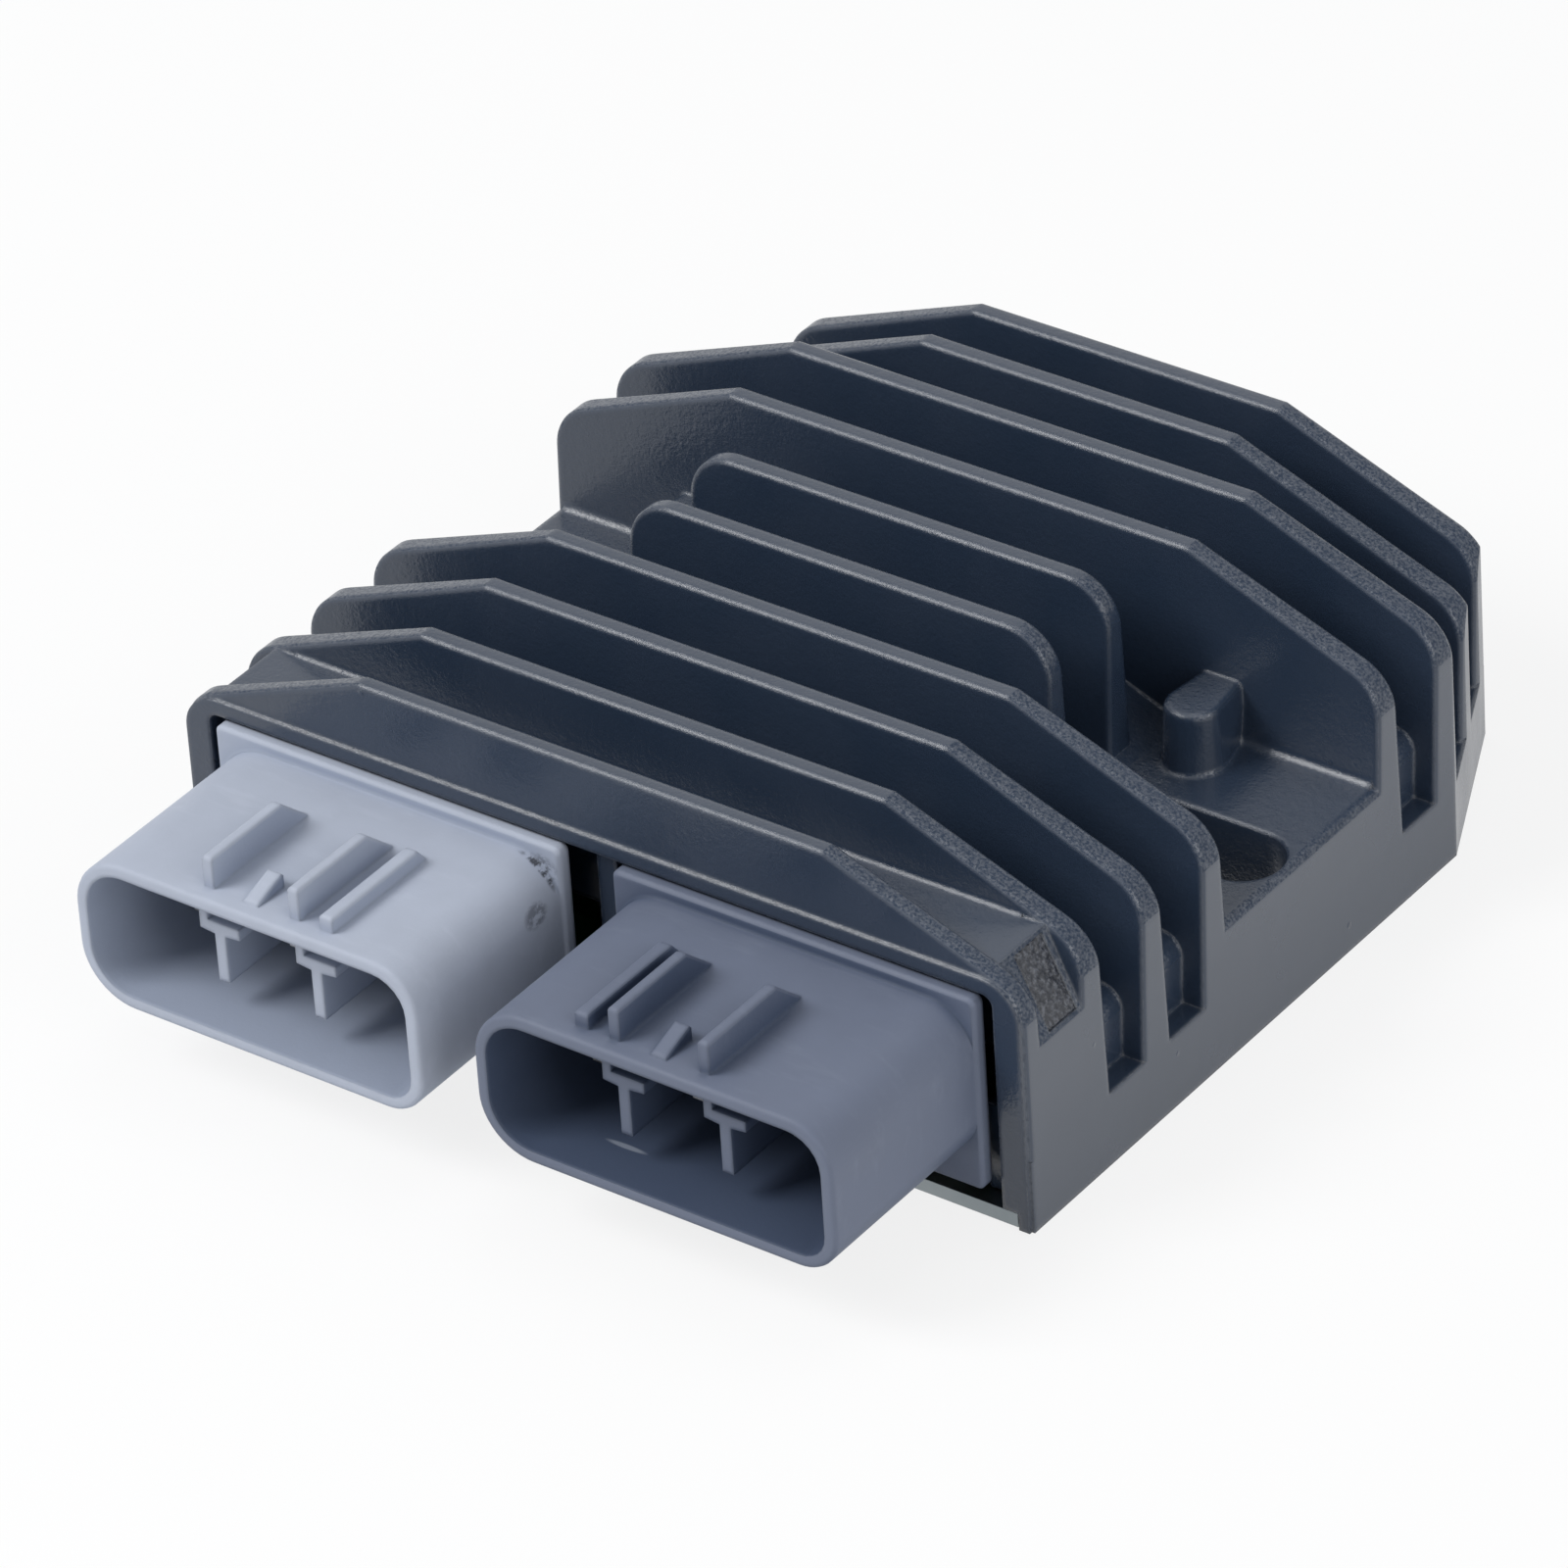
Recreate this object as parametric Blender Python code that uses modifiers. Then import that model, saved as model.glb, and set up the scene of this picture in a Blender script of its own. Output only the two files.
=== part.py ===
"""Voltage regulator rectifier: a finned die-cast housing with two moulded sockets.

Potted electronics sit in its underside, closed by a base plate.

Metres, +Z up. The connectors face -Y and the bolted face is the underside, at Z = 0.
The origin is the middle of the footprint, on the underside.
"""

import math

import bmesh
import bpy
from mathutils import Matrix

MM = 0.001

# Housing, outer form. Y sizes that start with FROM_FRONT are measured back from the front rim.
BODY_W = 102.0 * MM
BODY_D = 95.7 * MM
BASE_H = 8.35 * MM
CORE_H = 16.0 * MM
CORE_INSET = 2.6 * MM
CORE_ROUND = 2.3 * MM
REAR_CORNER_W = 9.45 * MM
REAR_CORNER_D = 20.2 * MM

# Fins. The top of each fin is a flat, two slopes and two round shoulders.
FIN_H = 36.5 * MM
FIN_TOP_T = 2.1 * MM
FIN_EDGE_R = 0.4 * MM
FIN_DRAFT = math.radians(2.65)
REAR_DRAFT = math.radians(1.7)
FIN_FIRST = 1.22 * MM
FIN_PITCH = 10.43 * MM
FIN_LAST_PITCH = 9.11 * MM
FIN_FLAT_HALF = 28.15 * MM
FIN_SLOPE = math.radians(21.85)
FIN_SHOULDER_R = 5.5 * MM
REAR_FLAT_HALF = 19.0 * MM
FIN_9_DROP = 1.8 * MM
FIN_10_DROP = 2.9 * MM
SLOT_TO_SHORT_FIN = 4.15 * MM
SHORT_FIN_R = 5.2 * MM
FULL_FINS = (2, 3, 4, 7, 8)
SHORT_FINS = (5, 6)
REAR_FINS = (9, 10)

# Front plate, its proud rim and the roof of the connector bays.
RIM_PROUD = 0.35 * MM
RIM_H = 28.5 * MM
RIM_INSET = 0.35 * MM
RIM_R = 4.3 * MM
ROOF_H = 28.9 * MM
ROOF_SLOPE_W = 4.2 * MM
ROOF_DROP = 8.3 * MM
ROOF_FILLET_R = 0.6 * MM
ROOF_FILLET_END = 2.6 * MM
GATE_START = 0.4 * MM
GATE_END = 8.8 * MM
GATE_DEPTH = 0.3 * MM
FROM_FRONT_GATE = 4.7 * MM
GATE_W = 4.7 * MM

# Lugs between fins 4 and 7, with their bolt slots and ejector posts, and the hump between them.
BOLT_SLOT_L = 20.2 * MM
BOLT_SLOT_W = 8.8 * MM
SLOT_EDGE_WALL = 0.9 * MM
FROM_FRONT_BOLTS = 45.3 * MM
SLOT_CHAMFER = 0.25 * MM
LUG_EDGE_R = 0.8 * MM
LUG_FILLET_R = 1.0 * MM
POST_FROM_BOLT = 7.7 * MM
FROM_FRONT_POST = 57.0 * MM
POST_R = 3.4 * MM
POST_LEAN = math.radians(14.5)
POST_H = 7.0 * MM
POST_DRAFT = 0.4 * MM
POST_EDGE_R = 0.5 * MM
POST_FILLET_R = 0.4 * MM
HUMP_FOOT_OUT = 1.65 * MM
HUMP_SLOPE_W = 10.9 * MM
HUMP_H = 4.2 * MM

# Hollows: connector bays, electronics cavity and the recess of the base plate.
WALL = 3.0 * MM
MOUTH_TOP = 26.75 * MM
MOUTH_WALL = 3.4 * MM
MOUTH_R = 1.2 * MM
MOUTH_DEPTH = 2.4 * MM
BAY_WALL = 4.8 * MM
BAY_TOP = 26.1 * MM
DIVIDER_W = 2.4 * MM
CAVITY_WALL = 6.5 * MM
FROM_FRONT_STEP = 31.0 * MM
SLOT_TO_CAVITY = 4.9 * MM
FROM_FRONT_CAVITY_END = 84.0 * MM

# Base plate.
PLATE_T = 1.6 * MM
PLATE_LIFT = 0.05 * MM
PLATE_RIM_W = 1.9 * MM
PLATE_MARGIN = 2.0 * MM

# Connectors: sealed three-way sockets moulded with their flanges.
CONN_REACH = 24.3 * MM
SHELL_LOW = 8.0 * MM
SHELL_HIGH = 25.0 * MM
SHELL_LEFT_R = 6.2 * MM
SHELL_RIGHT_R = 5.2 * MM
SHELL_FOOT_R = 4.6 * MM
SHELL_WALL = 1.35 * MM
SHELL_EDGE_R = 0.35 * MM
FLANGE_SIDE_GAP = 1.45 * MM
FLANGE_MIDDLE_GAP = 3.15 * MM
FLANGE_LOW = 3.9 * MM
FLANGE_HIGH = 26.35 * MM
FLANGE_R = 0.9 * MM
FLANGE_STEP = 0.3 * MM
FLANGE_T = 1.5 * MM
FLANGE_PROUD = 1.0 * MM
SOCKET_FLOOR_T = 1.8 * MM
PLUG_MARGIN = 1.5 * MM
PLUG_LOW = 10.5 * MM
PLUG_HIGH = 18.5 * MM
PLUG_T = 2.4 * MM

# Features of each socket: keys inside, rails, a low rib and a latch wedge on top.
WAY_PITCH = 12.0 * MM
KEY_SETBACK = 3.6 * MM
KEY_LOW = 12.6 * MM
KEY_HIGH = 19.5 * MM
KEY_BAR_W = 4.9 * MM
KEY_BAR_T = 1.2 * MM
KEY_STEM_W = 1.3 * MM
KEY_FILLET = 0.2 * MM
KEY_WEB_W = 1.0 * MM
RAIL_HALF_SPACING = 5.3 * MM
RAIL_W = 1.25 * MM
RAIL_H = 3.6 * MM
RAIL_SETBACK = 2.0 * MM
RAIL_L = 15.1 * MM
RAIL_RAMP = 4.0 * MM
RIB_OFFSET = 9.2 * MM
RIB_W = 1.6 * MM
RIB_H = 1.7 * MM
RIB_RAMP = 1.4 * MM
RIDGE_EDGE_R = 0.3 * MM
WEDGE_SETBACK = 1.7 * MM
WEDGE_W = 1.9 * MM
WEDGE_H = 1.7 * MM
WEDGE_STEP = 0.3 * MM
WEDGE_L = 4.2 * MM

# Blade terminals.
BLADE_W = 6.3 * MM
BLADE_T = 0.8 * MM
BLADE_Z = 14.2 * MM
BLADE_SETBACK = 10.5 * MM
FROM_FRONT_BLADE_BEND = 6.4 * MM
TAIL_W = 2.4 * MM

# Electronics.
BOARD_Z = 4.7 * MM
BOARD_T = 1.6 * MM
BOARD_MARGIN = 0.8 * MM
FROM_FRONT_BOARD = 3.6 * MM
TAIL_OUT = 0.9 * MM
SHEET_T = 0.4 * MM
SHEET_MARGIN = 2.5 * MM
FROM_FRONT_SHEET = 12.6 * MM
SHEET_D = 16.6 * MM
TRANSISTORS = 6
TRANSISTOR_MARGIN = 3.9 * MM
TRANSISTOR_W = 10.2 * MM
TRANSISTOR_BODY_D = 9.2 * MM
TRANSISTOR_TAB_D = 6.0 * MM
TRANSISTOR_TO_BOARD = 1.3 * MM
TAB_T = 1.3 * MM
LEAD_W = 0.8 * MM
LEAD_T = 0.5 * MM
LEAD_PITCH = 2.54 * MM
LEAD_REACH = 2.0 * MM
CHIP_W = 10.4 * MM
CHIP_D = 7.6 * MM
CHIP_ROOM = 3.2 * MM
CHIP_LIFT = 0.6 * MM
FROM_FRONT_CHIP = 42.0 * MM
CHIP_LEADS = 8
CHIP_LEAD_PITCH = 1.2 * MM
CHIP_LEAD_W = 0.5 * MM
CHIP_LEAD_REACH = 0.8 * MM
CAN_L = 11.0 * MM
CAN_GROOVE = 0.35 * MM
CAN_GROOVE_AT = 1.8 * MM
CAN_SPACING = 18.0 * MM
FROM_FRONT_CANS = 53.0 * MM
FILM_MARGIN = 1.5 * MM
FILM_SPACE = 4.0 * MM
FILM_D = 5.0 * MM
FILM_ROOM = 0.6 * MM
FROM_FRONT_FILMS = 69.0 * MM
FILM_EDGE_R = 0.5 * MM
SHUNT_W = 2.2 * MM
SHUNT_T = 1.0 * MM
SHUNT_SPAN = 12.0 * MM
SHUNT_ROOM = 3.0 * MM
FROM_FRONT_SHUNT = 77.0 * MM
POTTING_T = 1.5 * MM

# Clearances.
GAP = 0.3 * MM
FLUSH_STEP = 0.02 * MM
ROOT_INSET = 1.5 * MM
OVERLAP = 1.0 * MM
PAST = 5.0 * MM
ARC_STEPS = 6
LARGE_ARC_R = 4.0 * MM
WELD = 0.001 * MM

# Derived places.
HALF_W = BODY_W / 2
FRONT = CONN_REACH - (BODY_D + CONN_REACH) / 2
REAR = FRONT + BODY_D
MOUTH_Y = FRONT - CONN_REACH
ROOT_Z = BASE_H / 2
BOLT_X = HALF_W - SLOT_EDGE_WALL - BOLT_SLOT_L / 2
SLOT_INNER_END = BOLT_X - BOLT_SLOT_L / 2
SHORT_FIN_HALF = SLOT_INNER_END - SLOT_TO_SHORT_FIN
ROOF_HALF = HALF_W - ROOF_SLOPE_W
MOUTH_HALF = HALF_W - MOUTH_WALL
BAY_HALF = HALF_W - BAY_WALL
CAVITY_FRONT_HALF = HALF_W - CAVITY_WALL
CAVITY_REAR_HALF = SLOT_INNER_END - SLOT_TO_CAVITY
PLATE_HALF = HALF_W - PLATE_RIM_W
FLANGE_HALF = (MOUTH_HALF - FLANGE_SIDE_GAP - FLANGE_MIDDLE_GAP) / 2
CONN_X = FLANGE_MIDDLE_GAP + FLANGE_HALF
SHELL_HALF = FLANGE_HALF - FLANGE_STEP
PLUG_HALF = WAY_PITCH + BLADE_W / 2 + PLUG_MARGIN
PLATE_TOP = PLATE_LIFT + PLATE_T
LEDGE_Z = PLATE_TOP + GAP
CAVITY_TOP = CORE_H - WALL
BAY_BACK = FRONT + FIN_FIRST + FIN_PITCH - FIN_TOP_T / 2 - WALL / 2
BOARD_TOP = BOARD_Z + BOARD_T
SEAT_Z = BOARD_TOP + GAP
CAN_R = (CAVITY_TOP - GAP - SEAT_Z) / 2
SHEET_TOP = CAVITY_TOP - GAP
TRANSISTOR_TOP = SHEET_TOP - SHEET_T - GAP
TRANSISTOR_T = TRANSISTOR_TOP - TRANSISTOR_TO_BOARD - BOARD_TOP
TRANSISTOR_FRONT = FRONT + FROM_FRONT_SHEET + LEAD_REACH + GAP


def fin_y(number):
    """Middle plane of a fin, counted from the front plate."""
    last = max(0, number - 9)
    return FRONT + FIN_FIRST + (number - 1 - last) * FIN_PITCH + last * FIN_LAST_PITCH


def side_half(y):
    """Half width of the housing at this depth: the two rear corners are cut off."""
    into = max(0.0, y - (REAR - REAR_CORNER_D))
    return HALF_W - into * REAR_CORNER_W / REAR_CORNER_D


def rounded(corners):
    """Outline through (u, v, radius) corners, each with a radius turned into an arc."""
    points = []
    count = len(corners)
    for index, (u, v, radius) in enumerate(corners):
        before = corners[index - 1]
        after = corners[(index + 1) % count]
        if radius <= 0:
            points.append((u, v))
            continue
        to_before = (before[0] - u, before[1] - v)
        to_after = (after[0] - u, after[1] - v)
        before_length = math.hypot(*to_before)
        after_length = math.hypot(*to_after)
        a = (to_before[0] / before_length, to_before[1] / before_length)
        b = (to_after[0] / after_length, to_after[1] / after_length)
        half = math.acos(max(-1.0, min(1.0, a[0] * b[0] + a[1] * b[1]))) / 2
        middle = (a[0] + b[0], a[1] + b[1])
        middle_length = math.hypot(*middle)
        reach = radius / math.sin(half)
        centre = (u + middle[0] / middle_length * reach, v + middle[1] / middle_length * reach)
        tangent = radius / math.tan(half)
        start = (u + a[0] * tangent - centre[0], v + a[1] * tangent - centre[1])
        end = (u + b[0] * tangent - centre[0], v + b[1] * tangent - centre[1])
        angle = math.atan2(start[1], start[0])
        turn = math.atan2(end[1], end[0]) - angle
        turn = (turn + math.pi) % (2 * math.pi) - math.pi
        steps = ARC_STEPS if radius < LARGE_ARC_R else 2 * ARC_STEPS
        for step in range(steps + 1):
            at = angle + turn * step / steps
            points.append((centre[0] + radius * math.cos(at), centre[1] + radius * math.sin(at)))
    return points


def box_outline(u_low, u_high, v_low, v_high, radius=0.0):
    return rounded(
        [(u_low, v_low, radius), (u_high, v_low, radius), (u_high, v_high, radius), (u_low, v_high, radius)]
    )


def mirrored(right_side):
    """Closed outline from its right half, given from the bottom up."""
    return right_side + [(-u, v) for u, v in reversed(right_side)]


def material(name, colour, roughness, metallic):
    made = bpy.data.materials.new(name)
    made.use_nodes = True
    shader = made.node_tree.nodes["Principled BSDF"]
    shader.inputs["Base Color"].default_value = (*colour, 1.0)
    shader.inputs["Roughness"].default_value = roughness
    shader.inputs["Metallic"].default_value = metallic
    made.diffuse_color = (*colour, 1.0)
    return made


def collection(name):
    made = bpy.data.collections.new(name)
    bpy.context.scene.collection.children.link(made)
    return made


def placed(name, mesh, finish=None, home=None):
    """Object of this mesh: a visible piece if it has a finish, and otherwise a hidden helper."""
    made = bpy.data.objects.new(name, mesh)
    if finish is None:
        HELPERS.objects.link(made)
        made.hide_render = True
        made.display_type = "WIRE"
    else:
        PARTS.objects.link(made)
        mesh.materials.append(finish)
        made.parent = home
    return made


PLANES = {
    "XY": Matrix(((1, 0, 0, 0), (0, 1, 0, 0), (0, 0, 1, 0), (0, 0, 0, 1))),
    "XZ": Matrix(((1, 0, 0, 0), (0, 0, -1, 0), (0, 1, 0, 0), (0, 0, 0, 1))),
    "YZ": Matrix(((0, 0, 1, 0), (1, 0, 0, 0), (0, 1, 0, 0), (0, 0, 0, 1))),
}


def settle(mesh, axis, values):
    """Puts points that rounding left next to one of these planes exactly on it."""
    for vertex in mesh.vertices:
        for value in values:
            if abs(vertex.co[axis] - value) < WELD:
                vertex.co[axis] = value


def prism_mesh(name, outline, plane, low, high):
    """Flat outline in the plane, filled and extruded across it from low to high."""
    curve = bpy.data.curves.new(name, "CURVE")
    curve.dimensions = "2D"
    curve.fill_mode = "BOTH"
    curve.extrude = (high - low) / 2
    spline = curve.splines.new("POLY")
    spline.points.add(len(outline) - 1)
    for point, (u, v) in zip(spline.points, outline):
        point.co = (u, v, 0, 1)
    spline.use_cyclic_u = True
    drawn = bpy.data.objects.new(name, curve)
    bpy.context.scene.collection.objects.link(drawn)
    across = -(high + low) / 2 if plane == "XZ" else (high + low) / 2
    turned = PLANES[plane] @ Matrix.Translation((0, 0, across))
    graph = bpy.context.evaluated_depsgraph_get()
    mesh = bpy.data.meshes.new_from_object(drawn.evaluated_get(graph))
    bpy.data.objects.remove(drawn)
    bpy.data.curves.remove(curve)
    mesh.transform(turned)
    settle(mesh, "XYZ".index(next(axis for axis in "XYZ" if axis not in plane)), (low, high))
    cleaned = bmesh.new()
    cleaned.from_mesh(mesh)
    bmesh.ops.remove_doubles(cleaned, verts=cleaned.verts, dist=WELD)
    bmesh.ops.dissolve_limit(cleaned, angle_limit=0.001, verts=cleaned.verts, edges=cleaned.edges)
    bmesh.ops.recalc_face_normals(cleaned, faces=cleaned.faces)
    cleaned.to_mesh(mesh)
    cleaned.free()
    mesh.name = name
    return mesh


def prism(name, outline, plane, low, high, finish=None, home=None):
    return placed(name, prism_mesh(name, outline, plane, low, high), finish, home)


def block(name, x, y, z, finish=None, home=None):
    """Plain block between three pairs of limits."""
    return prism(name, box_outline(*x, *y), "XY", *z, finish, home)


def round_edges(made, radius, wanted, segments=2):
    """Rounds the edges of the mesh that wanted picks by their two ends."""
    shape = bmesh.new()
    shape.from_mesh(made.data)
    edges = [edge for edge in shape.edges if wanted(edge.verts[0].co, edge.verts[1].co)]
    bmesh.ops.bevel(
        shape, geom=edges, offset=radius, segments=segments, profile=0.5, affect="EDGES", clamp_overlap=True
    )
    shape.to_mesh(made.data)
    shape.free()
    return made


def at_y(y):
    """Picks the edges that lie in the plane across Y."""
    return lambda a, b: abs(a.y - y) < WELD and abs(b.y - y) < WELD


def at_z(z):
    return lambda a, b: abs(a.z - z) < WELD and abs(b.z - z) < WELD


def combine(target, others, operation):
    for other in others:
        step = target.modifiers.new(other.name, "BOOLEAN")
        step.operation = operation
        step.solver = "EXACT"
        step.object = other


def join(target, *others):
    combine(target, others, "UNION")


def cut(target, *others):
    combine(target, others, "DIFFERENCE")


def smooth(made, angle=20):
    made.data.shade_smooth()
    made.data.set_sharp_from_angle(angle=math.radians(angle))


# Housing


def slope_z(x, flat_half, top):
    return top - (x - flat_half) * math.tan(FIN_SLOPE)


def fin_outline(half, flat_half, top):
    """Front view of a fin: side, round shoulder, slope and flat top."""
    shoulder = min(FIN_SHOULDER_R, half / 3)
    corners = [
        (half - ROOT_INSET, ROOT_Z, 0),
        (half, BASE_H, 0),
        (half, slope_z(half, flat_half, top), shoulder),
        (flat_half, top, 0),
    ]
    whole = corners + [(-x, z, radius) for x, z, radius in reversed(corners)]
    return rounded(whole)


def short_fin_outline():
    low = CORE_H - OVERLAP
    half = SHORT_FIN_HALF
    return rounded([(half, low, 0), (half, FIN_H, SHORT_FIN_R), (-half, FIN_H, SHORT_FIN_R), (-half, low, 0)])


def fin(number, outline, top, front_draft=FIN_DRAFT, back_draft=FIN_DRAFT):
    """One fin, thicker towards its foot, with both edges of its top rounded."""
    middle = fin_y(number)
    low = middle - FIN_TOP_T / 2
    high = middle + FIN_TOP_T / 2
    if not front_draft:
        low = FRONT + RIM_PROUD
    made = prism(f"fin_{number}", outline, "XZ", low, high)
    faces = (at_y(low), at_y(high))
    side = max(x for x, _ in outline)
    round_edges(made, FIN_EDGE_R, lambda a, b: faces[0](a, b) or faces[1](a, b))
    settle(made.data, 0, (-side, side))
    settle(made.data, 1, (low, high))
    for vertex in made.data.vertices:
        depth = top - vertex.co.z
        if vertex.co.y > middle:
            vertex.co.y += depth * math.tan(back_draft)
        else:
            vertex.co.y -= depth * math.tan(front_draft)
    return made


def fins():
    made = [fin(1, fin_outline(HALF_W, FIN_FLAT_HALF, FIN_H), FIN_H, front_draft=0)]
    for number in FULL_FINS:
        made.append(fin(number, fin_outline(HALF_W, FIN_FLAT_HALF, FIN_H), FIN_H))
    for number in SHORT_FINS:
        made.append(fin(number, short_fin_outline(), FIN_H))
    for number, drop in zip(REAR_FINS, (FIN_9_DROP, FIN_10_DROP)):
        half = side_half(fin_y(number) - FIN_TOP_T / 2)
        top = FIN_H - drop
        made.append(fin(number, fin_outline(half, REAR_FLAT_HALF, top), top, back_draft=REAR_DRAFT))
    return made


def core():
    """Raised middle of the housing, set in from the sides of the fins, with a round upper edge."""
    inner = HALF_W - CORE_INSET
    corner = inner - REAR_CORNER_W
    start = FRONT + FIN_FIRST
    end = fin_y(10)
    outline = mirrored([(inner, start), (inner, REAR - REAR_CORNER_D), (corner, end)])
    made = prism("core", outline, "XY", ROOT_Z, CORE_H)
    return round_edges(made, CORE_ROUND, at_z(CORE_H), segments=5)


def bay_roof():
    """Block between the first two fins, over the connector bays."""
    side = HALF_W
    right_side = [(side, ROOT_Z), (side, ROOF_H - ROOF_DROP), (ROOF_HALF, ROOF_H)]
    return prism("bay_roof", mirrored(right_side), "XZ", FRONT + FIN_FIRST, fin_y(2))


def front_rim():
    """Slightly proud frame round the connector mouth."""
    half = HALF_W - RIM_INSET
    outline = rounded([(half, 0, 0), (half, RIM_H, RIM_R), (-half, RIM_H, RIM_R), (-half, 0, 0)])
    return prism("front_rim", outline, "XZ", FRONT, FRONT + FIN_FIRST)


def hump():
    """Low rise along the middle, which the slots between the fins show at the lugs."""
    foot = SHORT_FIN_HALF + HUMP_FOOT_OUT
    right_side = [(foot, CORE_H - OVERLAP), (foot, CORE_H), (foot - HUMP_SLOPE_W, CORE_H + HUMP_H)]
    return prism("hump", mirrored(right_side), "XZ", fin_y(2), fin_y(10))


def post_growth(z):
    """How far the post's side stands out from its nominal size: a fillet at the foot, then a draft."""
    rise = max(0.0, z - CORE_H)
    down = max(0.0, POST_FILLET_R - rise)
    fillet = POST_FILLET_R - math.sqrt(POST_FILLET_R**2 - down**2)
    return fillet - POST_DRAFT * rise / POST_H


def ejector_post(side):
    """Teardrop post against the front face of fin 7, with a fillet at its foot."""
    x = side * (BOLT_X - POST_FROM_BOLT)
    y = FRONT + FROM_FRONT_POST
    back = fin_y(7)
    back_half = (POST_R - (back - y) * math.sin(POST_LEAN)) / math.cos(POST_LEAN)
    outline = [(x + back_half, back)]
    steps = 2 * ARC_STEPS
    for step in range(steps + 1):
        angle = POST_LEAN - (math.pi + 2 * POST_LEAN) * step / steps
        outline.append((x + POST_R * math.cos(angle), y + POST_R * math.sin(angle)))
    outline.append((x - back_half, back))
    top = CORE_H + POST_H
    made = prism(f"post_{side}", outline, "XY", CORE_H - OVERLAP, top)
    shape = bmesh.new()
    shape.from_mesh(made.data)
    for level in (0, POST_FILLET_R / 3, POST_FILLET_R):
        every = shape.verts[:] + shape.edges[:] + shape.faces[:]
        bmesh.ops.bisect_plane(shape, geom=every, plane_co=(0, 0, CORE_H + level), plane_no=(0, 0, 1))
    for vertex in shape.verts:
        growth = post_growth(vertex.co.z)
        if vertex.co.y > back - WELD:
            vertex.co.x += math.copysign(growth / math.cos(POST_LEAN), vertex.co.x - x)
        else:
            radius = math.hypot(vertex.co.x - x, vertex.co.y - y)
            vertex.co.x += (vertex.co.x - x) * growth / radius
            vertex.co.y += (vertex.co.y - y) * growth / radius
    shape.to_mesh(made.data)
    shape.free()
    return round_edges(made, POST_EDGE_R, at_z(top))


def rear_corner(side):
    """Cutter for a rear corner, at the same angle all the way up."""
    x = side * HALF_W
    reach = side * PAST
    per_depth = REAR_CORNER_W / REAR_CORNER_D
    start = REAR - REAR_CORNER_D - PAST
    end = REAR + PAST
    outline = [
        (x + side * PAST * per_depth, start),
        (x - side * (REAR_CORNER_W + PAST * per_depth), end),
        (x + reach * 2, end),
        (x + reach * 2, start),
    ]
    return prism(f"rear_corner_{side}", outline, "XY", -PAST, FIN_H + PAST)


def bolt_slot(side):
    """Cutter for a slot along X with round ends, flared at its top to bevel the slot's rim."""
    x = side * BOLT_X
    y = FRONT + FROM_FRONT_BOLTS
    half = BOLT_SLOT_L / 2
    width = BOLT_SLOT_W / 2
    outline = box_outline(x - half, x + half, y - width, y + width, width - WELD)
    low = CORE_H - SLOT_CHAMFER
    high = CORE_H + 2 * SLOT_CHAMFER
    made = prism(f"bolt_slot_{side}", outline, "XY", -PAST, high)
    shape = bmesh.new()
    shape.from_mesh(made.data)
    every = shape.verts[:] + shape.edges[:] + shape.faces[:]
    bmesh.ops.bisect_plane(shape, geom=every, plane_co=(0, 0, low), plane_no=(0, 0, 1))
    straight = half - width
    for vertex in shape.verts:
        if vertex.co.z > high - WELD:
            nearest = max(x - straight, min(x + straight, vertex.co.x))
            share = (high - low) / math.hypot(vertex.co.x - nearest, vertex.co.y - y)
            vertex.co.x += (vertex.co.x - nearest) * share
            vertex.co.y += (vertex.co.y - y) * share
    shape.to_mesh(made.data)
    shape.free()
    return made


def foot_fillet(number, side, floor, radius, reach):
    """Concave fillet along a fin's foot on this floor, on one side of the fin.

    Both ends of its arc lie a little inside the solid, so that they cut its faces cleanly.
    """
    draft = math.tan(FIN_DRAFT)
    face = fin_y(number) + side * (FIN_TOP_T / 2 + (FIN_H - floor) * draft)
    outline = [(fin_y(number), floor - OVERLAP), (face + side * radius, floor - OVERLAP)]
    steps = ARC_STEPS // 2
    for step in range(steps + 1):
        angle = math.pi / 2 * step / steps
        rise = radius * (1 - math.cos(angle)) - FLUSH_STEP * math.cos(angle)
        out = radius * (1 - math.sin(angle)) - rise * draft - FLUSH_STEP * math.sin(angle)
        outline.append((face + side * out, floor + rise))
    outline.append((fin_y(number), floor + radius))
    return prism(f"foot_fillet_{number}", outline, "YZ", -reach, reach)


def gate_recess():
    """Cutter for the shallow seat of the broken-off casting gate, in the right slope of the bay roof."""
    length = math.hypot(ROOF_SLOPE_W, ROOF_DROP)
    right, down = ROOF_SLOPE_W / length, ROOF_DROP / length
    corners = [(GATE_START, -GATE_DEPTH), (GATE_END, -GATE_DEPTH), (GATE_END, PAST), (GATE_START, PAST)]
    outline = []
    for along, out in corners:
        outline.append((ROOF_HALF + along * right + out * down, ROOF_H - along * down + out * right))
    start = FRONT + FROM_FRONT_GATE
    return prism("gate_recess", outline, "XZ", start, start + GATE_W)


def connector_mouth():
    """Rebate in the front plate that takes both flanges, open down to the base plate."""
    low = LEDGE_Z - OVERLAP
    half = MOUTH_HALF
    top = MOUTH_TOP
    outline = rounded([(half, low, 0), (half, top, MOUTH_R), (-half, top, MOUTH_R), (-half, low, 0)])
    return prism("connector_mouth", outline, "XZ", FRONT - PAST, FRONT + MOUTH_DEPTH)


def connector_bay(side):
    """Bay behind one connector. A wall stays between the two bays."""
    ends = sorted((side * DIVIDER_W / 2, side * BAY_HALF))
    depth = (FRONT + MOUTH_DEPTH - OVERLAP, BAY_BACK)
    return block(f"connector_bay_{side}", ends, depth, (CAVITY_TOP - OVERLAP, BAY_TOP))


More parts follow.
